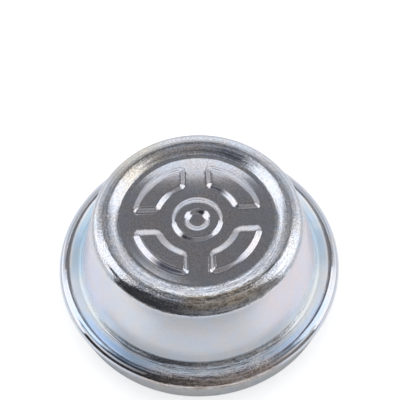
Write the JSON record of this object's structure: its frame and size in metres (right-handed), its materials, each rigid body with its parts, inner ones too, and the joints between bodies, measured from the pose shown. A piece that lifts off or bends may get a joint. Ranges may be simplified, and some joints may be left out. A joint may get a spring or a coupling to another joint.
{
  "type": "hub grease cap",
  "caption": "Drawn steel dust cap that presses into a wheel hub's outer bore to keep grease in, with a flange bead, conical wall and recessed top panel.",
  "frame": {"origin": "on the cap's axis, in the plane of the skirt's cut edge", "axes": "+Z along the axis, from the open edge towards the dome"},
  "size_m": [0.0684, 0.0684, 0.029],
  "materials": {
    "zinc_plate": "bright zinc plate"
  },
  "bodies": {
    "root": {"grease_cap": "zinc_plate"}
  },
  "joints": []
}
